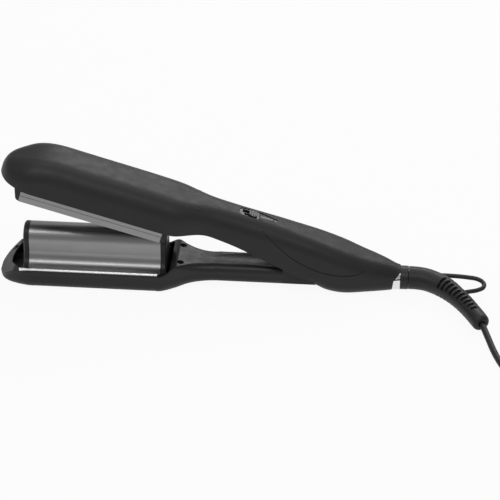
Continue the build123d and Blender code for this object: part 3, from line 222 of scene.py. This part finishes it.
def build_boot():
    """Curved rubber boot with narrowing pockets on its upper front and small notches along its sides."""
    end = BOOT_REACH[-1]
    pockets = [FIRST_POCKET + POCKET_STEP * i for i in range(POCKETS)]
    stops = NECK_STOPS[:]
    for middle in pockets:
        stops += [middle - POCKET_WIDE / 2, middle + POCKET_WIDE / 2]
    rings = BOOT_LIP + [(stop, None) for stop in stops + TIP_STOPS]
    # the mouth turns in and runs back inside the boot
    rings += [(end - 0.1, 4.9), (end, 4.3), (end, 3.0), (end - 0.4, 2.7), (end - 5, 2.65)]
    boot = bmesh.new()
    ring = bmesh.ops.create_circle(boot, segments=BOOT_SIDES, radius=1)["verts"]
    rim = list({edge for vert in ring for edge in vert.link_edges})
    laid = boot_place(*BOOT_START)
    bmesh.ops.transform(boot, matrix=laid, verts=ring)
    bmesh.ops.contextual_create(boot, geom=rim)
    bands = {}
    for stop, radius in rings:
        grown = bmesh.ops.extrude_edge_only(boot, edges=rim)["geom"]
        verts = [part for part in grown if isinstance(part, bmesh.types.BMVert)]
        rim = [part for part in grown if isinstance(part, bmesh.types.BMEdge)]
        rim = [edge for edge in rim if all(vert in verts for vert in edge.verts)]
        place = boot_place(stop, radius)
        bmesh.ops.transform(boot, matrix=place @ laid.inverted(), verts=verts)
        bands[stop] = ([part for part in grown if isinstance(part, bmesh.types.BMFace)], place)
        laid = place
    bmesh.ops.contextual_create(boot, geom=rim)
    bmesh.ops.recalc_face_normals(boot, faces=boot.faces)
    for i, middle in enumerate(pockets):
        faces, place = bands[middle + POCKET_WIDE / 2]
        share = i / (POCKETS - 1)
        deep = boot_faces(faces, place, 121 - 22 * share, 41 - 15 * share)
        slight = boot_faces(faces, place, 222, 21) + boot_faces(faces, place, 36, 15)
        for cut, border, depth in (
                (deep, POCKET_BORDER, POCKET_DEPTH - 0.5 * share), (slight, NOTCH_BORDER, NOTCH_DEPTH)):
            bmesh.ops.inset_region(boot, faces=cut, thickness=border * MM, depth=0)
            bmesh.ops.inset_region(boot, faces=cut, thickness=WALL_SLOPE * MM, depth=-depth * MM)
    piece = finished("rubber_boot", boot, "cord_end", "cord_black", "strain_relief")
    smooth = piece.modifiers.new("soft_edges", "SUBSURF")
    smooth.levels = smooth.render_levels = 2
    return piece


def build_loop():
    """Round rubber loop whose ends run into the boot."""
    curve = bpy.data.curves.new("rubber_loop", "CURVE")
    curve.dimensions = "3D"
    curve.bevel_depth = 1
    curve.bevel_resolution = 4
    curve.resolution_u = 12
    curve.use_fill_caps = True
    line = curve.splines.new("BEZIER")
    line.bezier_points.add(len(LOOP_FORM) - 1)
    for point, (past, y, z) in zip(line.bezier_points, LOOP_FORM):
        point.co = Vector((COLLAR_FACE + past, y, z)) * MM
        point.handle_left_type = point.handle_right_type = "AUTO"
        point.radius = LOOP_RADIUS * MM
    piece = bpy.data.objects.new("rubber_loop", curve)
    scene.collection.objects.link(piece)
    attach(piece, "cord_end")
    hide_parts("hang_loop")
    return piece


rubber_boot = build_boot()
rubber_loop = build_loop()

# ---- slide knob --------------------------------------------------------------------------------
HINGE = Vector((155.0, 0, 36.0))
OPEN = radians(16.8)
KNOB_LOW, KNOB_HIGH = (112.9, -3.6, 48.6), (119.6, 3.6, 52.9)
KNOB_CORNER, KNOB_EDGE = 1.5, 0.22
KNOB_CUTS = (114.6, 115.0, 115.6, 116.0, 116.4, 116.8, 117.4, 117.8)
GROOVES, GROOVE_HALF, GROOVE_DEPTH = (115.3, 117.1), 0.32, 0.55


def on_open_arm():
    """Turns a piece drawn on the closed arm, in millimetres, to where the open arm holds it."""
    pivot = Matrix.Translation(HINGE * MM)
    return pivot @ Matrix.Rotation(OPEN, 4, "Y") @ pivot.inverted() @ Matrix.Scale(MM, 4)


def block(shape, low, high):
    """Box between two corners."""
    middle = (Vector(low) + Vector(high)) / 2
    size = Vector(high) - Vector(low)
    place = Matrix.Translation(middle) @ Matrix.Diagonal((*size, 1))
    bmesh.ops.create_cube(shape, size=1, matrix=place)


def build_knob():
    """Slide knob: a body with rounded corners, and two finger grooves across its top."""
    knob = bmesh.new()
    block(knob, KNOB_LOW, KNOB_HIGH)
    upright = [edge for edge in knob.edges if abs(edge.verts[0].co.z - edge.verts[1].co.z) > 2]
    bmesh.ops.bevel(knob, geom=upright, offset=KNOB_CORNER, affect="EDGES", segments=5, profile=0.5, material=-1)
    for x in KNOB_CUTS:
        everything = knob.verts[:] + knob.edges[:] + knob.faces[:]
        bmesh.ops.bisect_plane(knob, geom=everything, plane_co=(x, 0, 0), plane_no=(1, 0, 0))
    for vert in knob.verts:
        if vert.co.z > KNOB_HIGH[2] - 0.1 and any(abs(vert.co.x - groove) < GROOVE_HALF for groove in GROOVES):
            vert.co.z -= GROOVE_DEPTH
    top = [
        edge for edge in knob.edges
        if all(vert.co.z > 52.2 for vert in edge.verts) and len(edge.link_faces) == 2
        and edge.calc_face_angle(0) > radians(40)]
    bmesh.ops.bevel(knob, geom=top, offset=KNOB_EDGE, affect="EDGES", segments=2, profile=0.5, material=-1)
    bmesh.ops.recalc_face_normals(knob, faces=knob.faces)
    bmesh.ops.transform(knob, matrix=on_open_arm(), verts=knob.verts)
    piece = finished("slide_knob", knob, "slide_switch", "grip_grey", "power_switch")
    for face in piece.data.polygons:
        face.use_smooth = False
    return piece


slide_knob = build_knob()


# ---- floor and lights --------------------------------------------------------------------------
FLOOR_HALF, FLOOR_TONE, FLOOR_GLOW, ROOM_LIGHT = 40, 0.62, 0.93, 0.42


def seen_share(tree):
    """Where the floor is looked at, reflected or seen through something."""
    path = tree.nodes.new("ShaderNodeLightPath")
    straight = tree.nodes.new("ShaderNodeMath")
    straight.operation = "MAXIMUM"
    tree.links.new(path.outputs["Is Camera Ray"], straight.inputs[0])
    tree.links.new(path.outputs["Is Glossy Ray"], straight.inputs[1])
    through = tree.nodes.new("ShaderNodeMath")
    through.operation = "MAXIMUM"
    tree.links.new(straight.outputs[0], through.inputs[0])
    tree.links.new(path.outputs["Is Transmission Ray"], through.inputs[1])
    return through.outputs[0]


def add_floor():
    """Pale seamless floor that stays near white and keeps the waver's shadow."""
    sheet = bmesh.new()
    bmesh.ops.create_grid(sheet, x_segments=1, y_segments=1, size=FLOOR_HALF)
    mesh = bpy.data.meshes.new("studio_floor")
    sheet.to_mesh(mesh)
    sheet.free()
    floor = bpy.data.objects.new("studio_floor", mesh)
    scene.collection.objects.link(floor)
    paper = bpy.data.materials.new("floor_paper")
    paper.use_nodes = True
    tree = paper.node_tree
    shader = tree.nodes["Principled BSDF"]
    shader.inputs["Base Color"].default_value = (FLOOR_TONE, FLOOR_TONE, FLOOR_TONE, 1)
    shader.inputs["Roughness"].default_value = 0.9
    shader.inputs["Specular IOR Level"].default_value = 0.1
    glow = tree.nodes.new("ShaderNodeEmission")
    glow.inputs["Color"].default_value = (1, 1, 1, 1)
    glow.inputs["Strength"].default_value = 1
    share = tree.nodes.new("ShaderNodeMath")
    share.operation = "MULTIPLY"
    share.inputs[1].default_value = FLOOR_GLOW
    tree.links.new(seen_share(tree), share.inputs[0])
    mix = tree.nodes.new("ShaderNodeMixShader")
    tree.links.new(share.outputs[0], mix.inputs[0])
    tree.links.new(shader.outputs[0], mix.inputs[1])
    tree.links.new(glow.outputs[0], mix.inputs[2])
    tree.links.new(mix.outputs[0], tree.nodes["Material Output"].inputs["Surface"])
    mesh.materials.append(paper)


def add_world():
    """Even room light, white to the eye."""
    room = bpy.data.worlds.new("studio_room")
    scene.world = room
    room.use_nodes = True
    tree = room.node_tree
    even = tree.nodes["Background"]
    even.inputs["Color"].default_value = (1, 1, 1, 1)
    even.inputs["Strength"].default_value = ROOM_LIGHT
    white = tree.nodes.new("ShaderNodeBackground")
    white.inputs["Color"].default_value = (1, 1, 1, 1)
    white.inputs["Strength"].default_value = 1
    path = tree.nodes.new("ShaderNodeLightPath")
    mix = tree.nodes.new("ShaderNodeMixShader")
    tree.links.new(path.outputs["Is Camera Ray"], mix.inputs[0])
    tree.links.new(even.outputs[0], mix.inputs[1])
    tree.links.new(white.outputs[0], mix.inputs[2])
    tree.links.new(mix.outputs[0], tree.nodes["World Output"].inputs["Surface"])


def add_softbox(name, spot, aim, wide, high, power):
    """Large rectangular lamp that looks at a point."""
    lamp = bpy.data.lights.new(name, "AREA")
    lamp.shape = "RECTANGLE"
    lamp.size = wide
    lamp.size_y = high
    lamp.energy = power
    box = bpy.data.objects.new(name, lamp)
    box.location = spot
    box.rotation_euler = (Vector(spot) - Vector(aim)).to_track_quat("Z", "Y").to_euler()
    scene.collection.objects.link(box)


add_floor()
add_world()
add_softbox("key_softbox", (-0.05, -0.62, 1.17), (0.08, 0, 0.03), 1.5, 0.24, 6.0)
add_softbox("top_softbox", (0.1, 0.3, 1.3), (0.12, 0, 0), 1.2, 0.5, 3.0)
add_softbox("rear_softbox", (0.48, 1.1, 0.86), (0.16, 0, 0.04), 1.1, 0.28, 7.0)


# ---- finishes ----------------------------------------------------------------------------------
def new_finish(name):
    """Material with its node tree and shader."""
    finish = bpy.data.materials.new(name)
    finish.use_nodes = True
    return finish, finish.node_tree, finish.node_tree.nodes["Principled BSDF"]


def placed(tree, stretch=(1, 1, 1), turn=(0, 0, 0)):
    """Object coordinates, stretched or turned."""
    where = tree.nodes.new("ShaderNodeTexCoord")
    lay = tree.nodes.new("ShaderNodeMapping")
    lay.inputs["Scale"].default_value = stretch
    lay.inputs["Rotation"].default_value = turn
    tree.links.new(where.outputs["Object"], lay.inputs["Vector"])
    return lay.outputs["Vector"]


def speckle(tree, across, fineness, detail=3, rough=0.5):
    """Noise with features about 1/fineness of a metre across."""
    noise = tree.nodes.new("ShaderNodeTexNoise")
    noise.inputs["Scale"].default_value = fineness
    noise.inputs["Detail"].default_value = detail
    noise.inputs["Roughness"].default_value = rough
    tree.links.new(across, noise.inputs["Vector"])
    return noise.outputs["Fac"]


def spread(tree, amount, low, high, start=0.3, stop=0.7):
    """Turns a pattern into values between low and high."""
    span = tree.nodes.new("ShaderNodeMapRange")
    span.inputs["From Min"].default_value = start
    span.inputs["From Max"].default_value = stop
    span.inputs["To Min"].default_value = low
    span.inputs["To Max"].default_value = high
    tree.links.new(amount, span.inputs["Value"])
    return span.outputs["Result"]


def two_tones(tree, amount, first, second):
    """Blends two colours by a pattern."""
    mix = tree.nodes.new("ShaderNodeMix")
    mix.data_type = "RGBA"
    mix.inputs[6].default_value = (*first, 1)
    mix.inputs[7].default_value = (*second, 1)
    tree.links.new(amount, mix.inputs[0])
    return mix.outputs[2]


def raised(tree, height, depth, under=None):
    """Bump of a given depth in metres."""
    bump = tree.nodes.new("ShaderNodeBump")
    bump.inputs["Strength"].default_value = 1
    bump.inputs["Distance"].default_value = depth
    tree.links.new(height, bump.inputs["Height"])
    if under is not None:
        tree.links.new(under, bump.inputs["Normal"])
    return bump.outputs["Normal"]


def grey(level, warm=0.0):
    """Neutral tone, warmer or cooler by a share."""
    return (level * (1 + warm), level, level * (1 - warm))


def moulded(name, tone, rough, pebble=0.00002, pebble_size=1400, gloss=0.5, coat=0.0):
    """Moulded plastic: faint cloudiness, uneven polish and a fine pebbled skin."""
    finish, tree, shader = new_finish(name)
    across = placed(tree)
    cloud = speckle(tree, across, 22, 4)
    smear = speckle(tree, across, 160, 5)
    skin = speckle(tree, across, pebble_size, 2)
    shade = spread(tree, cloud, 0, 1)
    tree.links.new(two_tones(tree, shade, grey(tone * 0.9), grey(tone * 1.1)), shader.inputs["Base Color"])
    tree.links.new(spread(tree, smear, rough - 0.05, rough + 0.05), shader.inputs["Roughness"])
    tree.links.new(raised(tree, skin, pebble), shader.inputs["Normal"])
    shader.inputs["Specular IOR Level"].default_value = gloss
    shader.inputs["Coat Weight"].default_value = coat
    shader.inputs["Coat Roughness"].default_value = 0.12
    return finish


def metal(name, tone, rough, stretch=(1, 1, 1), streaks=900, depth=0.000004, warm=0.0, smudges=0.05):
    """Metal with fine streaks and faint handling marks."""
    finish, tree, shader = new_finish(name)
    streak = speckle(tree, placed(tree, stretch), streaks, 4, 0.6)
    smudge = speckle(tree, placed(tree), 45, 5, 0.55)
    tree.links.new(
        two_tones(tree, spread(tree, streak, 0, 1), grey(tone * 0.94, warm), grey(tone * 1.04, warm)),
        shader.inputs["Base Color"])
    tree.links.new(spread(tree, smudge, rough - smudges / 2, rough + smudges), shader.inputs["Roughness"])
    tree.links.new(raised(tree, streak, depth), shader.inputs["Normal"])
    shader.inputs["Metallic"].default_value = 1
    return finish


def scored(finish, low, high):
    """Darkens a finish between two heights, as a scored line does."""
    tree = finish.node_tree
    shader = tree.nodes["Principled BSDF"]
    split = tree.nodes.new("ShaderNodeSeparateXYZ")
    tree.links.new(placed(tree), split.inputs[0])
    near = tree.nodes.new("ShaderNodeMath")
    near.operation = "COMPARE"
    near.inputs[1].default_value = (low + high) / 2
    near.inputs[2].default_value = (high - low) / 2
    tree.links.new(split.outputs["Z"], near.inputs[0])
    mix = tree.nodes.new("ShaderNodeMix")
    mix.data_type = "RGBA"
    mix.inputs[7].default_value = (*grey(0.02), 1)
    tree.links.new(near.outputs[0], mix.inputs[0])
    tree.links.new(shader.inputs["Base Color"].links[0].from_socket, mix.inputs[6])
    tree.links.new(mix.outputs[2], shader.inputs["Base Color"])
    return finish


def coloured(name, first, second, rough, fineness=240, depth=0.00001, see_through=0.0):
    """Plain coloured stock such as ceramic, mica, silicone or board."""
    finish, tree, shader = new_finish(name)
    across = placed(tree)
    tree.links.new(
        two_tones(tree, spread(tree, speckle(tree, across, fineness, 4), 0, 1), first, second),
        shader.inputs["Base Color"])
    tree.links.new(
        spread(tree, speckle(tree, across, fineness * 3, 3), rough - 0.06, rough + 0.06), shader.inputs["Roughness"])
    tree.links.new(raised(tree, speckle(tree, across, fineness * 6, 2), depth), shader.inputs["Normal"])
    shader.inputs["Transmission Weight"].default_value = see_through
    return finish


RING_LINE = (0.0131, 0.0141)
soft_black = moulded("soft_black", 0.017, 0.47, gloss=0.28, pebble=0.000012, pebble_size=1500)
satin_black = moulded("satin_black", 0.017, 0.4, gloss=0.3, pebble=0.000008, pebble_size=1900)
heat_black = moulded("heat_black", 0.013, 0.45, gloss=0.3, pebble=0.00001, pebble_size=1700)
gloss_black = moulded("gloss_black", 0.011, 0.24, pebble=0.000001, pebble_size=900, gloss=0.4)
grip_grey = moulded("grip_grey", 0.02, 0.33, pebble=0.000003, pebble_size=1800, gloss=0.4)
cord_black = moulded("cord_black", 0.014, 0.44, gloss=0.3, pebble=0.00001, pebble_size=1200)
plate_silver = metal("plate_silver", 0.26, 0.34, stretch=(0.06, 1, 1), depth=0.0000006, smudges=0.03)
bright_silver = metal("bright_silver", 0.78, 0.16, stretch=(0.05, 1, 1), streaks=1400, depth=0.000002)
ring_silver = scored(
    metal("ring_silver", 0.78, 0.16, stretch=(0.05, 1, 1), streaks=1400, depth=0.000002), *RING_LINE)
heater_alloy = metal("heater_alloy", 0.55, 0.42, streaks=500, depth=0.00001)
steel = metal("steel", 0.56, 0.3, stretch=(1, 1, 0.1), streaks=1200)
dark_screw = metal("dark_screw", 0.09, 0.42, streaks=1500)
ceramic = coloured("ceramic", (0.82, 0.79, 0.72), (0.88, 0.86, 0.81), 0.6)
mica = coloured("mica", (0.55, 0.44, 0.27), (0.66, 0.56, 0.40), 0.3)
silicone = coloured("silicone", (0.30, 0.09, 0.07), (0.36, 0.12, 0.09), 0.5)
board_green = coloured("board_green", (0.03, 0.17, 0.07), (0.05, 0.24, 0.11), 0.35)
lens_smoke = coloured("lens_smoke", (0.020, 0.006, 0.006), (0.032, 0.009, 0.008), 0.14, depth=0.0000005)

FINISHES = {
    soft_black: ["upper_housing", "handle_cover", "lower_shell"],
    satin_black: [
        "neck_cover", "switch_body", "tact_switch", "end_collar", "lower_cover", "temperature_button",
        "swivel_core", "cord_tie", "pin_sleeves"],
    heat_black: [
        "upper_carrier", "upper_front_cap", "upper_rear_cap", "lower_front_cap", "lower_rear_cap", "lower_carrier"],
    gloss_black: ["control_bezel"],
    grip_grey: ["power_switch"],
    cord_black: ["strain_relief", "hang_loop", "plug_body", "cord_lead", "cord_coil", "cord_tail"],
    plate_silver: ["upper_wave_plate", "lower_wave_plate"],
    bright_silver: ["side_rails"],
    ring_silver: ["trim_ring"],
    heater_alloy: ["upper_heater_saddle", "lower_heater_core"],
    steel: ["hinge_pin", "hinge_spring", "board_screws", "plug_pins"],
    dark_screw: ["handle_screws", "neck_screws", "cover_screws"],
    ceramic: ["hinge_bushes", "upper_heater_strip", "lower_heater_strip"],
    mica: ["upper_mica_sheet"],
    silicone: ["plate_cushions"],
    board_green: ["circuit_board"],
    lens_smoke: ["indicator_lens"],
}


def give_finish(piece, finish):
    """Puts one finish in every slot of a piece."""
    if not piece.material_slots:
        piece.data.materials.append(finish)
    for place in piece.material_slots:
        place.material = finish


for finish, names in FINISHES.items():
    for name in names:
        give_finish(nodes[name], finish)
for piece in (mains_cord, rubber_boot, rubber_loop):
    give_finish(piece, cord_black)
give_finish(slide_knob, grip_grey)

# ---- scene update ------------------------------------------------------------------------------
bpy.context.view_layer.update()
